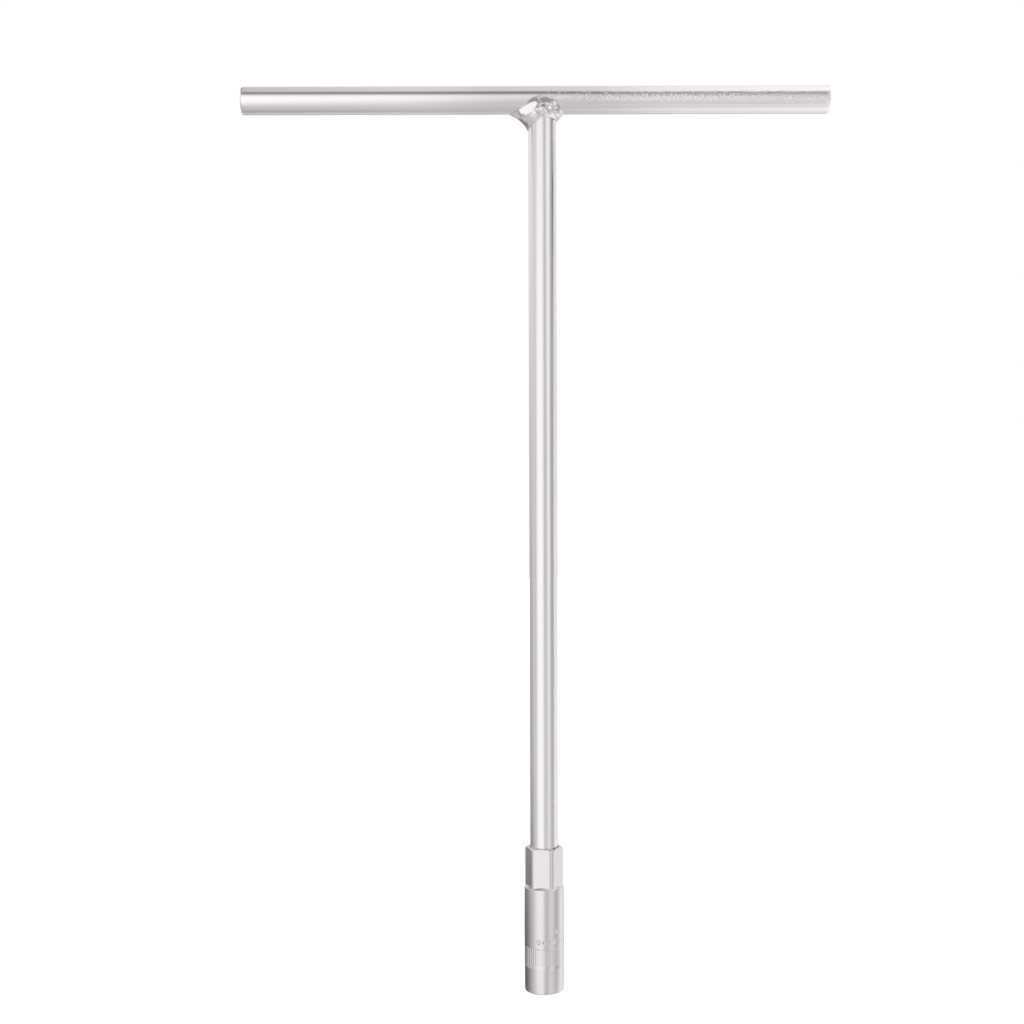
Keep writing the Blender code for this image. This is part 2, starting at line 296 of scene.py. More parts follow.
def make_floor():
    """A plain pale sheet under the tool."""
    form = bmesh.new()
    bmesh.ops.create_grid(form, x_segments=1, y_segments=1, size=FLOOR_SIZE / 2)
    mesh = bpy.data.meshes.new("floor")
    form.to_mesh(mesh)
    form.free()
    mesh.transform(Matrix.Translation((0, 0, cad_low.z - FLOOR_GAP)))
    sheet = bpy.data.objects.new("floor", mesh)
    bpy.context.scene.collection.objects.link(sheet)
    paper = bpy.data.materials.new("over_lit_white_paper")
    paper.use_nodes = True
    shader = paper.node_tree.nodes["Principled BSDF"]
    shader.inputs["Base Color"].default_value = linear_colour("#F4F4F4")
    shader.inputs["Roughness"].default_value = 1.0
    shader.inputs["Specular IOR Level"].default_value = 0.0
    shader.inputs["Emission Color"].default_value = (1, 1, 1, 1)
    shader.inputs["Emission Strength"].default_value = 1.0
    mesh.materials.append(paper)
    sheet.visible_glossy = False
    sheet.visible_diffuse = False
    return sheet


floor = make_floor()
print("floor at", round(floor.data.vertices[0].co.z / MM, 2), "mm")

# %% [markdown]
# ## Plated finishes
#
# Everything is steel under a few micrometres of bright nickel and chrome. The plate has the neutral,
# faintly warm grey of chrome, and it copies whatever lies under it: drawn rod keeps faint lengthwise
# waves, the bar's right arm keeps a scuffed strip with an orange-peel speckle, its sawn ends keep the
# saw's marks, and the turned socket keeps the fine rings of its lathe tool. None of these has a colour
# of its own, so each is a bump, with its height in metres. The bar's colour alone is darkened a little
# beside the weld: that is painted shade, where the shank and the weld shade the bar. A real lathe ring
# is a tenth as wide as drawn here, which would be too fine to show.

# %% Grains of one size
BAR_GREY = "#EDEBEC"
SHANK_GREY = "#E4E1E2"  # the weld metal's grey too
SOCKET_GREY = "#DAD7D8"  # the crimped socket took its plate a little duller
print("greys: bar", BAR_GREY, "shank and weld", SHANK_GREY, "socket", SOCKET_GREY)


def grain(tree, place, size, height, detail=2.0):
    """Noise with grains of size (x, y, z) metres, as bumps of a height in metres."""
    spread = add_node(
        tree, "ShaderNodeMapping", {"Vector": place, "Scale": [1 / length for length in size]}
    )["Vector"]
    cloud = add_node(tree, "ShaderNodeTexNoise", {"Vector": spread, "Scale": 1.0, "Detail": detail})
    return add_node(tree, "ShaderNodeMath", {0: cloud["Fac"], 1: height}, operation="MULTIPLY")[0]


# %% One recipe for plated steel
def plated_steel(name, grey, roughness, raised, painted_shade=None):
    """Bright plate. raised(tree, place) gives its bumps, as a height in metres, and the optional
    last function, (tree, place), gives the share of its colour's brightness kept under a painted
    shade."""
    material = bpy.data.materials.new(name)
    material.use_nodes = True
    tree = material.node_tree
    shader = tree.nodes["Principled BSDF"]
    shader.inputs["Base Color"].default_value = linear_colour(grey)
    shader.inputs["Metallic"].default_value = 1.0
    shader.inputs["Roughness"].default_value = roughness
    place = add_node(tree, "ShaderNodeTexCoord")["Object"]
    # painted shade: the base colour is scaled down by the share that the shading function gives
    if painted_shade:
        painted_shade_grey = add_node(
            tree,
            "ShaderNodeVectorMath",
            {0: linear_colour(grey)[:3], "Scale": painted_shade(tree, place)},
            operation="SCALE",
        )
        tree.links.new(painted_shade_grey["Vector"], shader.inputs["Base Color"])
    bump = add_node(tree, "ShaderNodeBump", {"Height": raised(tree, place), "Distance": 1.0})
    tree.links.new(bump["Normal"], shader.inputs["Normal"])
    print(f"{name}: grey {grey}, roughness {roughness}, {len(tree.nodes)} nodes")
    return material


# %% The bar's marks
# Places along the bar are measured from the shank's axis, and the right arm lies towards +X.
PEEL_GRAIN = (0.8 * MM, 0.65 * MM, 0.65 * MM)
PEEL_HEIGHT = 0.200 * MM
PEEL_STARTS = 4 * MM
PEEL_IS_FULL = 32 * MM
STRIP_HALF_WIDTH = 1.2 * MM
STRIP_IS_GONE = 2.4 * MM
BARELY = 0.05  # the share of the speckle outside its strip and beside the weld
PIT_GRAIN = (1.0 * MM, 0.7 * MM, 0.7 * MM)
PIT_DEPTH = 0.20 * MM
PIT_RIM = 0.62  # of the grain's height, where a pit starts
PIT_FLOOR = 0.72  # and where it is at its deepest
PITS_ARE_FULL = 5 * MM
PITS_THIN_OUT = 14 * MM
PITS_END = 30 * MM
SAW_GRAIN = (10 * MM, 4 * MM, 0.3 * MM)
SAW_HEIGHT = 0.060 * MM
SAW_STARTS = 0.2 * MM  # from the bar's end
SAW_IS_FULL = 0.05 * MM
# painted shade: beside the weld the bar's colour is darkened to this share, where the shank and weld
# shade it
PAINTED_SHADE_KEEPS = 0.86  # the share of its brightness that the plate keeps beside the weld
PAINTED_SHADE_IS_FULL = 12 * MM
PAINTED_SHADE_ENDS = 46 * MM
print(f"speckle {PEEL_HEIGHT / MM:.2f} mm high, pits {PIT_DEPTH / MM:.2f} mm deep")


# %% The scuffed strip and its peel
def scuffed_strip(tree, up):
    """1 on the strip along the bar's front and back, and nearly 0 above and below it."""
    above = add_node(tree, "ShaderNodeMath", {0: up, 1: BAR_AXIS_Z}, operation="SUBTRACT")[0]
    above = add_node(tree, "ShaderNodeMath", {0: above}, operation="ABSOLUTE")[0]
    return add_node(
        tree,
        "ShaderNodeMapRange",
        {
            "Value": above,
            "From Min": STRIP_HALF_WIDTH,
            "From Max": STRIP_IS_GONE,
            "To Min": 1.0,
            "To Max": BARELY,
        },
        interpolation_type="SMOOTHSTEP",
    )["Result"]


def with_peel(tree, place, along, strip, so_far):
    """Adds the right arm's orange peel to the height so far."""
    peel = grain(tree, place, PEEL_GRAIN, PEEL_HEIGHT, 3.0)
    share = add_node(
        tree,
        "ShaderNodeMapRange",
        {
            "Value": along,
            "From Min": PEEL_STARTS,
            "From Max": PEEL_IS_FULL,
            "To Min": BARELY,
            "To Max": 1.0,
        },
    )["Result"]
    share = add_node(tree, "ShaderNodeMath", {0: share, 1: strip}, operation="MULTIPLY")[0]
    return add_node(
        tree, "ShaderNodeMath", {0: peel, 1: share, 2: so_far}, operation="MULTIPLY_ADD"
    )[0]


# %% Pits and saw marks
def with_pits(tree, place, along, strip, so_far):
    """Adds the small pits beside the weld. A pit is where a grain rises past its rim."""
    pits = grain(tree, place, PIT_GRAIN, 1.0)
    pits = add_node(
        tree,
        "ShaderNodeMapRange",
        {
            "Value": pits,
            "From Min": PIT_RIM,
            "From Max": PIT_FLOOR,
            "To Min": 0.0,
            "To Max": -PIT_DEPTH,
        },
    )["Result"]
    near_weld = add_node(
        tree,
        "ShaderNodeMapRange",
        {
            "Value": along,
            "From Min": PITS_THIN_OUT,
            "From Max": PITS_END,
            "To Min": 1.0,
            "To Max": 0.0,
        },
    )["Result"]
    past_weld = add_node(
        tree, "ShaderNodeMapRange", {"Value": along, "From Min": 0.0, "From Max": PITS_ARE_FULL}
    )["Result"]
    near_weld = add_node(
        tree, "ShaderNodeMath", {0: near_weld, 1: past_weld}, operation="MULTIPLY"
    )[0]
    near_weld = add_node(tree, "ShaderNodeMath", {0: near_weld, 1: strip}, operation="MULTIPLY")[0]
    return add_node(
        tree, "ShaderNodeMath", {0: pits, 1: near_weld, 2: so_far}, operation="MULTIPLY_ADD"
    )[0]


def with_saw_marks(tree, place, along, so_far):
    """Adds the saw's level scratches on the bar's two end faces."""
    from_middle = add_node(
        tree, "ShaderNodeMath", {0: along, 1: BAR_MIDDLE_X}, operation="SUBTRACT"
    )[0]
    from_middle = add_node(tree, "ShaderNodeMath", {0: from_middle}, operation="ABSOLUTE")[0]
    sawn = add_node(
        tree,
        "ShaderNodeMapRange",
        {
            "Value": from_middle,
            "From Min": BAR_HALF_LENGTH - SAW_STARTS,
            "From Max": BAR_HALF_LENGTH - SAW_IS_FULL,
        },
    )["Result"]
    marks = grain(tree, place, SAW_GRAIN, SAW_HEIGHT, 3.0)
    return add_node(
        tree, "ShaderNodeMath", {0: marks, 1: sawn, 2: so_far}, operation="MULTIPLY_ADD"
    )[0]


# %% The bar's relief, and its painted shade near the weld
def bar_relief(tree, place):
    """Drawn waves along X, then the right arm's peel, the pits beside the weld and the saw marks."""
    axes = add_node(tree, "ShaderNodeSeparateXYZ", {"Vector": place})
    along = axes["X"]
    strip = scuffed_strip(tree, axes["Z"])
    height = grain(tree, place, (24 * MM, 2.6 * MM, 2.6 * MM), 0.020 * MM)
    height = with_peel(tree, place, along, strip, height)
    height = with_pits(tree, place, along, strip, height)
    return with_saw_marks(tree, place, along, height)


def painted_shade_by_the_weld(tree, place):
    """Painted shade: the bar's colour is darkened a little beside the weld, where the shank and weld
    shade it.
    """
    along = add_node(tree, "ShaderNodeSeparateXYZ", {"Vector": place})["X"]
    away = add_node(tree, "ShaderNodeMath", {0: along}, operation="ABSOLUTE")[0]
    return add_node(
        tree,
        "ShaderNodeMapRange",
        {
            "Value": away,
            "From Min": PAINTED_SHADE_IS_FULL,
            "From Max": PAINTED_SHADE_ENDS,
            "To Min": PAINTED_SHADE_KEEPS,
            "To Max": 1.0,
        },
        interpolation_type="SMOOTHSTEP",
    )["Result"]


# %% What the other steel keeps under its plate
def shank_relief(tree, place):
    """Drawn waves along Z, and a trace of peel."""
    waves = grain(tree, place, (2.4 * MM, 2.4 * MM, 30 * MM), 0.022 * MM)
    peel = grain(tree, place, (1.0 * MM, 1.0 * MM, 1.0 * MM), 0.005 * MM)
    return add_node(tree, "ShaderNodeMath", {0: waves, 1: peel}, operation="ADD")[0]


def socket_relief(tree, place):
    """Lathe rings round the body, and a mottle left by the crimping press."""
    rings = grain(tree, place, (9 * MM, 9 * MM, 0.4 * MM), 0.003 * MM)
    mottle = grain(tree, place, (1.3 * MM, 1.3 * MM, 1.3 * MM), 0.016 * MM, 3.0)
    return add_node(tree, "ShaderNodeMath", {0: rings, 1: mottle}, operation="ADD")[0]


def weld_relief(tree, place):
    """Fine freezing wrinkles on the bead."""
    return grain(tree, place, (0.7 * MM, 0.7 * MM, 0.7 * MM), 0.035 * MM, 3.0)


# %% The four finishes
bar_plate = plated_steel(
    "bright_plate_on_drawn_bar", BAR_GREY, 0.14, bar_relief, painted_shade_by_the_weld
)
shank_plate = plated_steel("bright_plate_on_drawn_shank", SHANK_GREY, 0.13, shank_relief)
socket_plate = plated_steel("bright_plate_on_turned_steel", SOCKET_GREY, 0.18, socket_relief)
weld_plate = plated_steel("bright_plate_on_weld_metal", SHANK_GREY, 0.16, weld_relief)

# %% [markdown]
# ## Skins from rings
#
# Rods, bead and socket are all closed skins over a stack of rings: each ring is a loop of points,
# and each is stitched to the next. A ring of one point closes an end. It is a lathe that can also
# turn hexagons, and every point's place follows from a rule.


# %% The skin maker
def skin(name, rings, finish, closed=False, crease=30):
    """A mesh over rings of points. A closed skin joins its last ring to its first."""
    form = bmesh.new()
    rows = [[form.verts.new(point) for point in ring] for ring in rings]
    pairs = list(zip(rows, rows[1:])) + ([(rows[-1], rows[0])] if closed else [])
    for lower, upper in pairs:
        count = max(len(lower), len(upper))
        for i in range(count):
            corners = [lower[i % len(lower)], lower[(i + 1) % count % len(lower)]]
            corners += [upper[(i + 1) % count % len(upper)], upper[i % len(upper)]]
            form.faces.new(list(dict.fromkeys(corners)))
    bmesh.ops.recalc_face_normals(form, faces=form.faces)
    mesh = bpy.data.meshes.new(name)
    form.to_mesh(mesh)
    form.free()
    mesh.shade_smooth()
    mesh.set_sharp_from_angle(angle=math.radians(crease))
    mesh.materials.append(finish)
    piece = bpy.data.objects.new(name, mesh)
    bpy.context.scene.collection.objects.link(piece)
    print(f"{name}: {len(mesh.polygons)} faces")
    return piece


def spaced(start, end, count):
    """Count even steps from start to end, both ends included."""
    return [start + (end - start) * i / count for i in range(count + 1)]


def arc(centre, radius, start, end, steps):
    """Points (out, along) round a centre, with angles in degrees."""
    return [
        (
            centre[0] + radius * math.cos(math.radians(angle)),
            centre[1] + radius * math.sin(math.radians(angle)),
        )
        for angle in spaced(start, end, steps)
    ]


print("a quarter round in 7 steps has", len(arc((0, 0), 1.0, 0, 90, 7)), "points")

# %% [markdown]
# ## The two rods
#
# Both are drawn rod, cut to length and tumbled, so their ends are flat with a softly rounded edge.
# Each is half an outline, mirrored and turned. Its radius is left up to two hundredths of a millimetre
# short here and there, because no drawn rod is perfectly true, and in a mirror finish even that makes
# the stripes swell and thin.

# %% A rod's rings
ROD_END_ROUNDING = 0.6 * MM
ROD_SIDES = 144
ROD_STEPS = 60  # along each straight half of a rod
ROD_SHORTFALL = 0.002  # the mean part of its radius that a rod falls short by
DRIFT_LENGTH = 30 * MM  # over which the shortfall comes and goes
SHANK_SHIFT = 1.0  # metres along the drift, so that the shank's isn't the bar's


def rod_rings(half_length, radius, place):
    """Rings along a rod. place(out, angle, along) sets a point in the frame."""
    outline = [(radius, along) for along in spaced(0, half_length - ROD_END_ROUNDING, ROD_STEPS)]
    corner = (radius - ROD_END_ROUNDING, half_length - ROD_END_ROUNDING)
    outline += arc(corner, ROD_END_ROUNDING, 0, 90, 7)[1:]
    outline += [(radius * 0.5, half_length), (0, half_length)]
    whole = [(out, -along) for out, along in reversed(outline[1:])] + outline
    return [
        [place(out, FULL_TURN * i / ROD_SIDES, along) for i in range(ROD_SIDES if out else 1)]
        for out, along in whole
    ]


print(f"each straight half of a rod in {ROD_STEPS} steps, with {ROD_SIDES} points to a ring")


# %% Not quite true
def not_quite_true(out, angle, along):
    """A radius that falls short of its true value by up to four parts in a thousand."""
    drift = noise.noise(Vector((along / DRIFT_LENGTH, math.cos(angle), math.sin(angle))))
    return out * (1 - ROD_SHORTFALL * (1 + drift))


def on_bar(out, angle, along):
    """A place on the bar, which lies along X."""
    out = not_quite_true(out, angle, along)
    return (BAR_MIDDLE_X + along, out * math.cos(angle), BAR_AXIS_Z + out * math.sin(angle))


SHANK_MIDDLE_Z = (shank_low.z + shank_high.z) / 2


def on_shank(out, angle, along):
    """A place on the shank, which stands along Z."""
    out = not_quite_true(out, angle, along + SHANK_SHIFT)
    return (out * math.cos(angle), out * math.sin(angle), SHANK_MIDDLE_Z + along)


print(f"the bar's middle has a radius of {not_quite_true(BAR_RADIUS, 0.0, 0.0) / MM:.3f} mm")

# %% The two rods
bar_rings = rod_rings(BAR_HALF_LENGTH, BAR_RADIUS, on_bar)
shank_rings = rod_rings((shank_high.z - shank_low.z) / 2, SHANK_RADIUS, on_shank)
handle_bar = skin("handle_bar_rod", bar_rings, bar_plate)
shank = skin("shank_rod", shank_rings, shank_plate)

# %% [markdown]
# ## The weld bead
#
# The welder ran one pass round the joint and ended it on the front, so the bead is heavier under the
# longer arm, climbs the bar's front, and froze there in lumps with creases between them. Its skin is
# stretched between two toe lines, one round the shank and one on the bar, then pushed out by a crown.
# The front is worked as a sculptor would: overlapping ripples, of which the highest wins at
# each point, so a crease is left where two meet, and then flats where the torch wiped the metal. The
# largest flat faces the key softbox, and it makes the bead read as weld and not as putty.

# %% The bead's toe lines
WELD_LONG_REACH = 6.6 * MM  # along the bar's longer arm, from the shank's side
WELD_SHORT_REACH = 2.3 * MM
WELD_LONG_DROP = 5.6 * MM  # down the shank under the longer arm, from the bar's underside
WELD_SHORT_DROP = 2.2 * MM
WELD_WRAP = math.radians(96)  # up round the bar, from its underside
UNDERSIDE_Z = BAR_AXIS_Z - BAR_RADIUS


def longer_arm_share(around):
    """1 under the longer arm, 0 under the other."""
    return (1 - math.cos(around)) / 2


def shank_toe(around):
    """Where the bead meets the shank."""
    extra = (WELD_LONG_DROP - WELD_SHORT_DROP) * longer_arm_share(around) ** 3
    level = UNDERSIDE_Z - WELD_SHORT_DROP - extra
    return Vector((SHANK_RADIUS * math.cos(around), SHANK_RADIUS * math.sin(around), level))


def bar_toe(around):
    """Where the bead meets the bar."""
    share = longer_arm_share(around)
    reach = WELD_SHORT_REACH + (WELD_LONG_REACH - WELD_SHORT_REACH) * share
    across = math.sin(around)
    wrap = math.copysign(WELD_WRAP * abs(across) ** (1.3 + 1.4 * share), across)
    out_x = (SHANK_RADIUS + reach) * math.cos(around)
    return Vector((out_x, BAR_RADIUS * math.sin(wrap), BAR_AXIS_Z - BAR_RADIUS * math.cos(wrap)))


print(f"the bead's toe is at x {bar_toe(math.pi).x / MM:.1f} and {bar_toe(0.0).x / MM:.1f} mm")

# %% Ripples
# Places are (across, up) in mm from the point where the axes cross, then radius and height in mm.
FRONT_RIPPLES = (
    ((1.0, -3.3), 1.15, 0.70),
    ((3.5, -2.9), 1.10, 0.80),
    ((2.5, -4.6), 1.05, 0.85),
    ((4.9, -5.4), 1.00, 0.70),
    ((-0.7, -4.9), 1.40, 0.55),
    ((0.9, -6.0), 1.10, 0.40),
)
RIPPLE_TURN = math.radians(-35)  # the way the torch went
RIPPLE_STRETCH = 1.5  # how much longer a ripple is that way
RIPPLE_POWER = 2.2  # the higher, the flatter its top and the steeper its edge


def ripple_lift(across, up):
    """The highest of the ripples at a place, which leaves a crease between two of them."""
    lifts = [0.0]
    for (middle_across, middle_up), radius, height in FRONT_RIPPLES:
        off_across = across / MM - middle_across
        off_up = up / MM - middle_up
        with_ripple = off_across * math.cos(RIPPLE_TURN) + off_up * math.sin(RIPPLE_TURN)
        over_ripple = off_up * math.cos(RIPPLE_TURN) - off_across * math.sin(RIPPLE_TURN)
        away = math.hypot(with_ripple / RIPPLE_STRETCH, over_ripple) / radius
        if away < 1:
            lifts.append(height * (1 - away**RIPPLE_POWER) * MM)
    return max(lifts)


print(len(FRONT_RIPPLES), "ripples on the bead's front")

# %% The wiped flats
# Each flat has a point it goes through, the way it faces, its outline as (across, up) in mm, and how
# many mm it takes to blend in at its edge.
TOWARDS_KEY = (-0.22, -0.95, -0.20)
TOWARDS_CEILING = (0.05, -0.95, 0.30)
CHIP_REACHES = (1.5, 0.8, 1.3, 0.9)  # its corners' distances, in its own radius
CHIP_EDGE = 0.1


def chip(across, up, out, facing, radius, turn):
    """A small, crisp, four-sided flat, longer one way than the other."""
    corners = []
    for i, reach in enumerate(CHIP_REACHES):
        ray = turn + FULL_TURN * i / len(CHIP_REACHES)
        corners.append((across + reach * radius * math.cos(ray), up + reach * radius * math.sin(ray)))
    return Vector((across, -out, up)), Vector(facing), tuple(corners), CHIP_EDGE


FLATS = (
    (
        Vector((-4.6, -4.75, -3.8)),
        Vector(TOWARDS_KEY),
        (
            (-8.0, -3.9),
            (-7.3, -5.4),
            (-5.4, -6.2),
            (-3.4, -5.6),
            (-1.4, -2.7),
            (-2.3, -1.8),
            (-4.4, -2.2),
        ),
        0.25,
    ),
    (
        Vector((1.8, -5.05, -1.5)),
        Vector((0.12, -0.94, 0.30)),
        (
            (-1.5, -0.5),
            (-0.9, -2.0),
            (0.8, -2.9),
            (2.6, -2.2),
            (4.7, -1.7),
            (4.2, -0.9),
            (1.0, -0.1),
        ),
        0.2,
    ),
    chip(3.9, -2.6, 5.35, TOWARDS_KEY, 0.75, -0.6),
    chip(2.2, -4.1, 5.9, TOWARDS_KEY, 0.85, -0.7),
    chip(-0.8, -4.5, 6.0, (-0.1, -0.98, -0.1), 0.9, -0.3),
    chip(0.4, -3.6, 5.75, TOWARDS_CEILING, 0.60, -0.9),
    chip(3.7, -3.9, 5.45, TOWARDS_CEILING, 0.60, -0.5),
    chip(2.9, -5.3, 5.7, (0.2, -0.97, -0.1), 0.55, -0.6),
    chip(4.8, -4.7, 4.75, TOWARDS_CEILING, 0.55, -0.7),
    chip(5.1, -6.0, 4.3, TOWARDS_KEY, 0.60, -0.8),
)
print(len(FLATS), "flats to wipe into the bead")


# %% Wipe the flats
def inside_by(outline, across, up):
    """How far inside a convex outline a place is, in mm. Outlines run anticlockwise."""
    sides = zip(outline, outline[1:] + outline[:1])
    return min(
        ((end[0] - start[0]) * (up - start[1]) - (end[1] - start[1]) * (across - start[0]))
        / math.dist(start, end)
        for start, end in sides
    )


def wiped(point):
    """Pull a front point onto each flat whose outline it lies in."""
    from_middle = (point - Vector((0, 0, BAR_AXIS_Z))) / MM
    for middle, facing, outline, edge in FLATS:
        hold = min(1.0, max(0.0, inside_by(outline, from_middle.x, from_middle.z) / edge))
        off = (from_middle - middle).dot(facing.normalized())
        from_middle -= facing.normalized() * off * hold
    return from_middle * MM + Vector((0, 0, BAR_AXIS_Z))


# %% The bead's surface
WELD_CROWN = 1.5 * MM  # how far the front and back stand out
WELD_HOLLOW = 1.0 * MM  # how far the fillet under the longer arm is hollowed
WELD_EDGE = 0.22 * MM  # the thickness of its rim
RIM_SHARE = 0.05  # of the way from toe to toe, in which the rim rises
LUMP_SIZE = 1.9 * MM
SMALL_LUMP_SIZE = 0.8 * MM
LUMP_HEIGHT = 0.16 * MM
CALM_UNDER_ARM = 0.8  # the share of the lumps that is missing under the longer arm
FADE = 0.35  # the sine below which the ripples fade, towards the sides and the toes
WIPED_FROM = -0.2  # the sine past which a point counts as the front's


def bead_point(around, along):
    """A point of the bead. Along is 0 at the shank's toe line and 1 at the bar's."""
    outwards = Vector((math.cos(around), math.sin(around), -0.8 * abs(math.cos(around)))).normalized()
    crown = WELD_CROWN * math.sin(around) ** 2 - WELD_HOLLOW * max(0.0, -math.cos(around)) ** 3
    inner = math.sin(math.pi * along)
    point = shank_toe(around).lerp(bar_toe(around), along) + outwards * crown * inner
    edge = min(1.0, along / RIM_SHARE, (1 - along) / RIM_SHARE)
    lumpy = noise.noise(point / LUMP_SIZE) + 0.5 * noise.noise(point / SMALL_LUMP_SIZE)
    calm = 1 - CALM_UNDER_ARM * longer_arm_share(around) ** 2
    lift = WELD_EDGE + LUMP_HEIGHT * lumpy * inner * calm
    if math.sin(around) < 0:
        frontness = min(1.0, -math.sin(around) / FADE)
        lift += frontness * ripple_lift(point.x, point.z - BAR_AXIS_Z) * min(1.0, inner / FADE)
    point += outwards * lift * edge
    return wiped(point) if math.sin(around) < WIPED_FROM and 0 < along < 1 else point


print(f"the middle of the bead's front is at y {bead_point(-FULL_TURN / 4, 0.5).y / MM:.2f} mm")

# %% Weld bead
WELD_SIDES = 420
WELD_ROWS = 150
weld_rings = [[(0, 0, UNDERSIDE_Z - WELD_SHORT_DROP)]]
for row in spaced(0, 1, WELD_ROWS):
    weld_rings.append([bead_point(FULL_TURN * i / WELD_SIDES, row) for i in range(WELD_SIDES)])
weld_rings.append([(0, 0, BAR_AXIS_Z)])
weld = skin("weld_bead_metal", weld_rings, weld_plate, crease=50)

# %% [markdown]
# ## The socket
#
# The socket starts as turned bar: a round body with a shoulder. Its upper half was then pressed
# between six jaws onto the shank, which made the short hexagon with rounded corners. So its radius at
# any height is a choice between rules: the hexagon or its chamfer, whichever is smaller, and then that
# or the round body, whichever is larger. A soft choice, which fills or rounds the crease over a small
# distance, gives the worn, plated edges for free, and the scalloped line where flats run into the
# shoulder comes out by itself.

# %% The socket's sizes
# A flat radius is half a hexagon's width across its flats, and a height is from the mouth.
COLLAR_FLAT_RADIUS = 5.75 * MM
COLLAR_CORNER_RADIUS = 1.8 * MM
COLLAR_TURN = math.radians(-8.2)
COLLAR_TOP_RADIUS = 6.08 * MM
COLLAR_CHAMFER_SLOPE = math.radians(55)
COLLAR_EDGE = 0.15 * MM  # the softness of the edge round the chamfer
SHOULDER_Z = 34.2 * MM
SHOULDER_ROUNDING = 0.4 * MM
SHOULDER_SLOPE = math.radians(54)
SHOULDER_FILL = 0.12 * MM  # the softness of the crease between collar and shoulder
MOUTH_ROUNDING = 0.4 * MM
BAND_BOTTOM_Z = 9.6 * MM
BAND_TOP_Z = 14.6 * MM
BAND_SLOPE = 0.45 * MM  # the height in which the body drops to the band, at either end
RECESS_FLAT_RADIUS = 4.05 * MM
RECESS_DEPTH = 14.0 * MM
COUNTERSINK = 0.32 * MM
RELIEF_BORE_RADIUS = 3.65 * MM
SEAT_Z = 33.6 * MM  # the ledge that the shank stands on
BORE_RADIUS = SHANK_RADIUS + 0.16 * MM
print(f"collar {2 * COLLAR_FLAT_RADIUS / MM:.1f} mm, recess {2 * RECESS_FLAT_RADIUS / MM:.1f} mm wide")


# %% The hexagon's rule
def hexagon_radius(angle, flat_radius, corner_radius=0.0, turn=0.0):
    """Distance from the axis to a hexagon's side, with its corners rounded."""
    sector = FULL_TURN / 6
    from_corner = abs((angle - turn + sector / 2) % sector - sector / 2)
    centre = (flat_radius - corner_radius) / math.cos(sector / 2)
    tangent = math.atan2(
        corner_radius * math.sin(sector / 2), centre + corner_radius * math.cos(sector / 2)
    )
    if from_corner < tangent:
        chord = math.sqrt(corner_radius**2 - (centre * math.sin(from_corner)) ** 2)
        return centre * math.cos(from_corner) + chord
    return flat_radius / math.cos(sector / 2 - from_corner)


def soft_larger(first, second, blend):
    """The larger of two, with the crease between them filled over blend."""
    overlap = max(blend - abs(first - second), 0.0) / blend
    return max(first, second) + overlap * overlap * blend / 4


def soft_smaller(first, second, blend):
    """The smaller of two, with the edge between them rounded over blend."""
    return -soft_larger(-first, -second, blend)


collar_corner = hexagon_radius(0.0, COLLAR_FLAT_RADIUS, COLLAR_CORNER_RADIUS)
print(f"the collar's rounded corners reach {collar_corner / MM:.2f} mm from the axis")

# %% Body and collar
BARREL_SAG = 0.06 * MM  # how much its radius has dropped, BARREL_REACH from its widest height
BARREL_MIDDLE_Z = 22 * MM
BARREL_REACH = 13 * MM


def body_radius(height):
    """The turned body: a very slight barrel, and a shoulder that rolls over into a cone."""
    barrel = BODY_RADIUS - BARREL_SAG * ((height - BARREL_MIDDLE_Z) / BARREL_REACH) ** 2
    over = height - SHOULDER_Z
    roll_over = SHOULDER_ROUNDING * math.sin(SHOULDER_SLOPE)
    if over <= 0:
        return barrel
    if over < roll_over:
        return barrel - SHOULDER_ROUNDING + math.sqrt(SHOULDER_ROUNDING**2 - over**2)
    start = barrel - SHOULDER_ROUNDING * (1 - math.cos(SHOULDER_SLOPE))
    return start - (over - roll_over) * math.tan(SHOULDER_SLOPE)


def outer_radius(angle, height):
    """The outside of the socket above its knurled band."""
    hexagon = hexagon_radius(angle, COLLAR_FLAT_RADIUS, COLLAR_CORNER_RADIUS, COLLAR_TURN)
    cone = COLLAR_TOP_RADIUS + (SOCKET_TOP_Z - height) / math.tan(COLLAR_CHAMFER_SLOPE)
    collar = soft_smaller(hexagon, cone, COLLAR_EDGE)
    return soft_larger(collar, body_radius(height), SHOULDER_FILL) - stamp_depth(angle, height)


print(f"the body's radius is {body_radius(BAND_TOP_Z) / MM:.3f} mm at the top of the band")

# %% [markdown]
# ## The stamped mark
#
# Such a socket carries a small stamp below its middle. This one is a plain maker's doodle with no
# meaning: a little hexagon, a few upright strokes and some dots, pressed one to three tenths of a
# millimetre into the steel. A stroke is a line between two places on the unrolled body, and the
# stamp's depth falls off with the distance to the nearest stroke.

# %% The stamp's strokes
STAMP_WIDTH = 0.26 * MM  # from a stroke's middle to its edge
STAMP_MIDDLE = (1.3, 17.3)  # mm round from the front and up from the mouth
STAMP_LOW_Z = 15.8 * MM
STAMP_HIGH_Z = 21.8 * MM


def stamp_strokes():
    """Strokes as (place, place, depth), in mm round from the front and up from the mouth."""
    around, up = STAMP_MIDDLE
    corners = [
        (around - 3.4 + 0.7 * math.cos(FULL_TURN * i / 6), up + 0.7 * math.sin(FULL_TURN * i / 6))
        for i in range(7)
    ]
    strokes = [(start, end, 0.13) for start, end in zip(corners, corners[1:])]
    for i in range(6):
        tall = 0.7 if i % 3 else 0.3
        across = around - 1.7 + 0.8 * i
        strokes.append(((across, up - tall), (across, up + tall), 0.26))
    for i in range(3):
        across = around + 3.6 + 0.9 * i
        strokes.append(((across, up), (across, up + 0.05), 0.26))
        across = around + 2.6 + 0.8 * i
        strokes.append(((across, up + 2.9), (across, up + (3.4 if i == 1 else 3.9)), 0.28))
    return [(Vector(start) * MM, Vector(end) * MM, depth * MM) for start, end, depth in strokes]


STROKES = stamp_strokes()
print(len(STROKES), "strokes in the stamp")


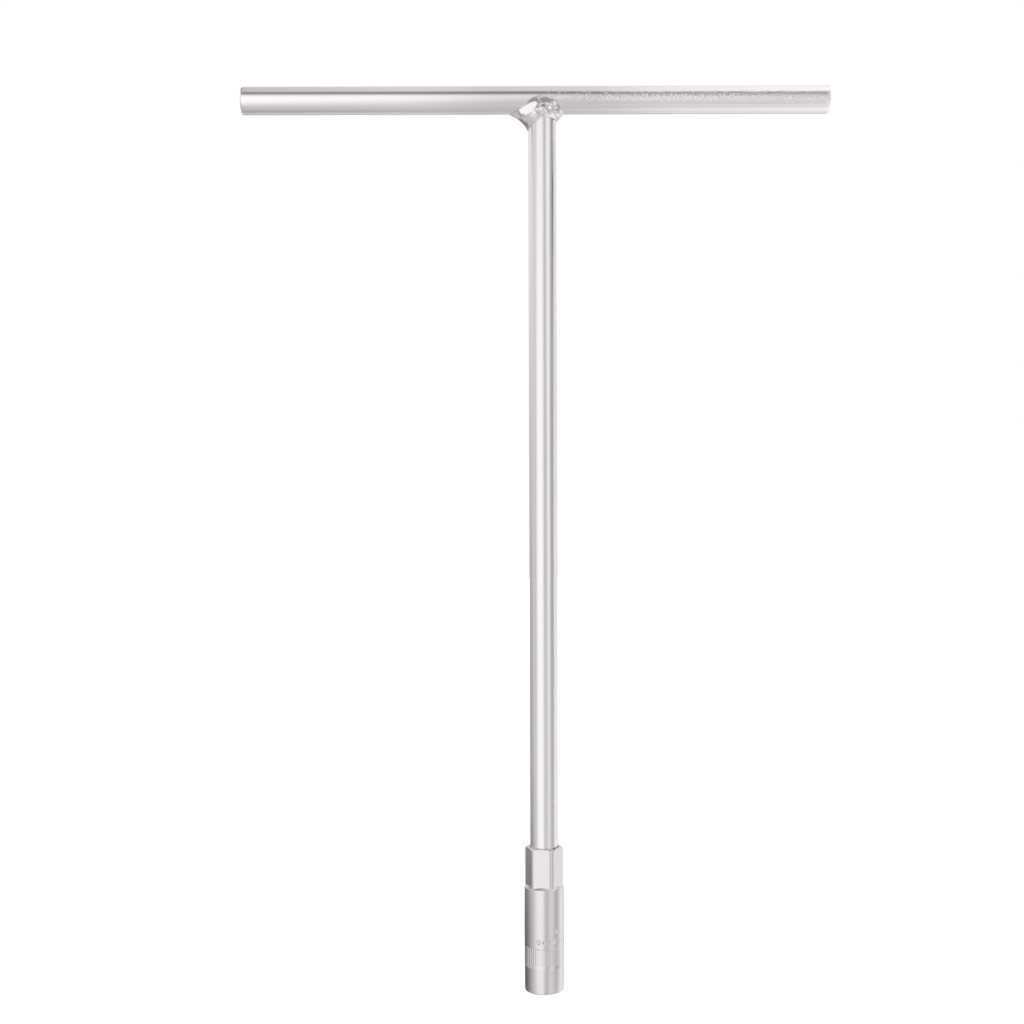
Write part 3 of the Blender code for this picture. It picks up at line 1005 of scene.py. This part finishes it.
# %% The stamp's depth
def stamp_depth(angle, height):
    """How deep the stamp is at a place. The front is at -90 degrees."""
    if not STAMP_LOW_Z < height < STAMP_HIGH_Z:
        return 0.0
    turned = (angle + math.pi / 2 + math.pi) % FULL_TURN - math.pi
    place = Vector((turned * BODY_RADIUS, height))
    deepest = 0.0
    for start, end, depth in STROKES:
        line = end - start
        share = min(1.0, max(0.0, (place - start).dot(line) / line.length_squared))
        away = (place - start - line * share).length / STAMP_WIDTH
        if away < 1:
            deepest = max(deepest, depth * (1 - away * away) ** 2)
    return deepest


# %% The rings of the socket
SOCKET_SIDES = 420
BAND_CREST_RADIUS = BODY_RADIUS - 0.03 * MM
BAND_ROOT_RADIUS = BAND_CREST_RADIUS - 0.16 * MM
ANGLES = [FULL_TURN * i / SOCKET_SIDES for i in range(SOCKET_SIDES)]


def ring_of(radius_at, height):
    """A ring whose radius follows from the angle."""
    rays = [(radius_at(angle), angle) for angle in ANGLES]
    return [(out * math.cos(angle), out * math.sin(angle), height) for out, angle in rays]


def plain_ring(out, height):
    """A round ring."""
    return ring_of(lambda angle: out, height)


# Rings lie close together where the outline turns, and far apart where it runs straight.
outer_heights = spaced(SOCKET_TOP_Z - 0.02 * MM, 46.0 * MM, 16)  # the collar's chamfer
outer_heights += spaced(45 * MM, 36.2 * MM, 4)  # its flats
outer_heights += spaced(36.1 * MM, 33.9 * MM, 60)  # the shoulder
outer_heights += spaced(32 * MM, 22.5 * MM, 6)  # the plain body
outer_heights += spaced(22.2 * MM, 15.6 * MM, 56) + [15.2 * MM]  # the stamp
print(len(outer_heights), "rings from the collar's top to the band")

# %% The socket, from its bore over its top, down its outside and up into its recess
BORE_CHAMFER_DEPTH = 0.25 * MM
BORE_CHAMFER_WIDTH = 0.12 * MM
TOP_FACE_INSET = 0.15 * MM  # the flat top ends this far inside the collar's flats
socket_rings = [plain_ring(BORE_RADIUS, SOCKET_TOP_Z - BORE_CHAMFER_DEPTH)]
socket_rings += [plain_ring(BORE_RADIUS + BORE_CHAMFER_WIDTH, SOCKET_TOP_Z)]
socket_rings += [plain_ring(COLLAR_FLAT_RADIUS - TOP_FACE_INSET, SOCKET_TOP_Z)]
for height in outer_heights:
    socket_rings.append(ring_of(lambda angle: outer_radius(angle, height), height))
socket_rings += [plain_ring(body_radius(BAND_TOP_Z), BAND_TOP_Z + BAND_SLOPE)]
socket_rings += [plain_ring(BAND_ROOT_RADIUS, BAND_TOP_Z)]
socket_rings += [plain_ring(BAND_ROOT_RADIUS, BAND_BOTTOM_Z)]
for height in [BAND_BOTTOM_Z - BAND_SLOPE] + spaced(8 * MM, MOUTH_ROUNDING, 6):
    socket_rings.append(plain_ring(body_radius(height), height))
mouth_centre = (body_radius(MOUTH_ROUNDING) - MOUTH_ROUNDING, MOUTH_ROUNDING)
for out, height in arc(mouth_centre, MOUTH_ROUNDING, 0, -90, 8)[1:]:
    socket_rings.append(plain_ring(out, height))

recess_corner = RECESS_FLAT_RADIUS / math.cos(FULL_TURN / 12)
rim = recess_corner + COUNTERSINK
for inward in spaced(0, 1, 8):
    cone = rim - inward * (rim - RECESS_FLAT_RADIUS)
    socket_rings.append(
        ring_of(
            lambda angle: max(cone, hexagon_radius(angle, RECESS_FLAT_RADIUS)),
            inward * (rim - RECESS_FLAT_RADIUS),
        )
    )
socket_rings += [ring_of(lambda angle: hexagon_radius(angle, RECESS_FLAT_RADIUS), RECESS_DEPTH)]
socket_rings += [plain_ring(RELIEF_BORE_RADIUS, RECESS_DEPTH)]
socket_rings += [plain_ring(RELIEF_BORE_RADIUS, SEAT_Z)]
socket_rings += [plain_ring(BORE_RADIUS, SEAT_Z)]
socket = skin("socket_body", socket_rings, socket_plate, closed=True, crease=28)

# %% [markdown]
# ## The knurled band
#
# A straight knurl is rolled in by a toothed wheel: upright ridges, all alike, side by side round the
# body. That is a repeat round a circle, so Geometry Nodes make it. One ridge is a flattened rod; the
# tree sets a point for each, turns it to face outwards, and varies its length a little, because the
# wheel's teeth are worn. On the side where the band itself is worn, every ridge is also wider, so it
# overlaps its neighbours and leaves only shallow grooves.

# %% The knurl's inputs
KNURL_RIDGES = 44
RIDGE_SIDES = 20
WEAR_SEED = 7
KEPT_COSINE = -0.35  # of a ridge's angle from the worn direction, below which it is unworn
WORN_COSINE = 0.05  # and above which it is fully worn
RIDGE_INPUTS = {
    "Ridges": "NodeSocketInt",
    "Crest radius": "NodeSocketFloat",
    "Ridge half depth": "NodeSocketFloat",
    "Ridge half width": "NodeSocketFloat",
    "Band height": "NodeSocketFloat",
    "Band middle": "NodeSocketFloat",
    "Wear": "NodeSocketFloat",
    "Worn direction": "NodeSocketFloat",
    "Worn width": "NodeSocketFloat",
    "Finish": "NodeSocketMaterial",
}
print(len(RIDGE_INPUTS), "inputs for", KNURL_RIDGES, "ridges")


# %% One ridge, and a point for each
def one_ridge(tree, given):
    """A flattened upright rod."""
    rod = add_node(
        tree, "GeometryNodeMeshCylinder", {"Vertices": RIDGE_SIDES, "Radius": 1.0, "Depth": 1.0}
    )["Mesh"]
    size = add_node(
        tree,
        "ShaderNodeCombineXYZ",
        {"X": given["Ridge half depth"], "Y": given["Ridge half width"], "Z": given["Band height"]},
    )[0]
    return add_node(tree, "GeometryNodeTransform", {"Geometry": rod, "Scale": size})[0]


def ridge_angle(tree, given, number):
    """Each ridge's direction from the axis, in radians."""
    step = add_node(
        tree, "ShaderNodeMath", {0: FULL_TURN, 1: given["Ridges"]}, operation="DIVIDE"
    )[0]
    return add_node(tree, "ShaderNodeMath", {0: number, 1: step}, operation="MULTIPLY")[0]


def ridge_points(tree, given, angle):
    """A point for each ridge, which brings its crest to the crest radius."""
    out = add_node(
        tree,
        "ShaderNodeMath",
        {0: given["Crest radius"], 1: given["Ridge half depth"]},
        operation="SUBTRACT",
    )[0]
    ahead = add_node(tree, "ShaderNodeMath", {0: angle}, operation="COSINE")[0]
    aside = add_node(tree, "ShaderNodeMath", {0: angle}, operation="SINE")[0]
    spot = add_node(
        tree,
        "ShaderNodeCombineXYZ",
        {
            "X": add_node(tree, "ShaderNodeMath", {0: out, 1: ahead}, operation="MULTIPLY")[0],
            "Y": add_node(tree, "ShaderNodeMath", {0: out, 1: aside}, operation="MULTIPLY")[0],
            "Z": given["Band middle"],
        },
    )[0]
    return add_node(tree, "GeometryNodePoints", {"Count": given["Ridges"], "Position": spot})[0]


# %% Wear on the ridges
def ridge_stretch(tree, given, number, angle):
    """Each ridge's own scale: a little shorter by chance, and wider on the worn side."""
    shortest = add_node(
        tree, "ShaderNodeMath", {0: 1.0, 1: given["Wear"]}, operation="SUBTRACT"
    )[0]
    length = add_node(
        tree,
        "FunctionNodeRandomValue",
        {2: shortest, 3: 1.0, "ID": number, "Seed": WEAR_SEED},
        data_type="FLOAT",
    )
    from_worn = add_node(
        tree, "ShaderNodeMath", {0: angle, 1: given["Worn direction"]}, operation="SUBTRACT"
    )[0]
    from_worn = add_node(tree, "ShaderNodeMath", {0: from_worn}, operation="COSINE")[0]
    width = add_node(
        tree,
        "ShaderNodeMapRange",
        {
            "Value": from_worn,
            "From Min": KEPT_COSINE,
            "From Max": WORN_COSINE,
            "To Min": 1.0,
            "To Max": given["Worn width"],
        },
    )["Result"]
    return add_node(tree, "ShaderNodeCombineXYZ", {"X": 1.0, "Y": width, "Z": length[1]})[0]


# %% The knurl's tree
def knurl_tree():
    """Upright rounded ridges round a circle."""
    tree = bpy.data.node_groups.new("straight_knurl", "GeometryNodeTree")
    tree.interface.new_socket("Geometry", in_out="OUTPUT", socket_type="NodeSocketGeometry")
    for name, kind in RIDGE_INPUTS.items():
        tree.interface.new_socket(name, in_out="INPUT", socket_type=kind)
    given = add_node(tree, "NodeGroupInput")
    number = add_node(tree, "GeometryNodeInputIndex")[0]
    angle = ridge_angle(tree, given, number)
    ridges = add_node(
        tree,
        "GeometryNodeInstanceOnPoints",
        {
            "Points": ridge_points(tree, given, angle),
            "Instance": one_ridge(tree, given),
            "Rotation": add_node(tree, "ShaderNodeCombineXYZ", {"Z": angle})[0],
            "Scale": ridge_stretch(tree, given, number, angle),
        },
    )[0]
    real = add_node(tree, "GeometryNodeRealizeInstances", {"Geometry": ridges})[0]
    shown = add_node(
        tree, "GeometryNodeSetMaterial", {"Geometry": real, "Material": given["Finish"]}
    )[0]
    add_node(tree, "NodeGroupOutput", {0: shown})
    print(f"{tree.name}: {len(tree.nodes)} nodes")
    return tree


# %% Run a tree and keep its mesh
def mesh_from_tree(name, tree, values):
    """A plain mesh piece from a Geometry Nodes tree. Inputs are set before it is evaluated."""
    holder = bpy.data.objects.new(name + "_holder", bpy.data.meshes.new(name + "_holder"))
    bpy.context.scene.collection.objects.link(holder)
    modifier = holder.modifiers.new("tree", "NODES")
    modifier.node_group = tree
    for item in tree.interface.items_tree:
        if item.in_out == "INPUT":
            modifier[item.identifier] = values[item.name]
    evaluated = holder.evaluated_get(bpy.context.evaluated_depsgraph_get())
    mesh = bpy.data.meshes.new_from_object(evaluated)
    mesh.name = name
    bpy.data.objects.remove(holder)
    piece = bpy.data.objects.new(name, mesh)
    bpy.context.scene.collection.objects.link(piece)
    print(f"{name}: {len(mesh.polygons)} faces")
    return piece


# %% Knurl
RUN_OUT = 0.4 * MM  # how far a ridge runs past the band at either end, into the slope there
RIDGE_HALF_DEPTH = 0.22 * MM
RIDGE_OVERLAP = 0.52  # half a ridge's width, in pitches
RIDGE_WEAR = 0.1  # the most of its length that a worn tooth costs a ridge
ridge_pitch = FULL_TURN * BAND_CREST_RADIUS / KNURL_RIDGES
print(f"a ridge every {ridge_pitch / MM:.2f} mm")
knurl = mesh_from_tree(
    "knurl_ridges",
    knurl_tree(),
    {
        "Ridges": KNURL_RIDGES,
        "Crest radius": BAND_CREST_RADIUS,
        "Ridge half depth": RIDGE_HALF_DEPTH,
        "Ridge half width": ridge_pitch * RIDGE_OVERLAP,
        "Band height": BAND_TOP_Z - BAND_BOTTOM_Z + 2 * RUN_OUT,
        "Band middle": (BAND_TOP_Z + BAND_BOTTOM_Z) / 2,
        "Wear": RIDGE_WEAR,
        "Worn direction": math.radians(-20),
        "Worn width": 1.55,
        "Finish": socket_plate,
    },
)

# %% [markdown]
# ## Onto the frame
#
# Each new skin stands for the CAD node of its name, which stays behind for the simulation. Nothing on
# this tool moves, so every piece rides on the one body.

# %% Ride and replace
for piece, node, slot in (
    (handle_bar, "handle_bar", "rod_plating"),
    (shank, "shank", "rod_plating"),
    (weld, "weld_bead", "weld_plating"),
    (socket, "socket", "socket_plating"),
):
    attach(piece, "root")
    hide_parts(node)
    print(piece.name, "stands for", node)
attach(knurl, "root")
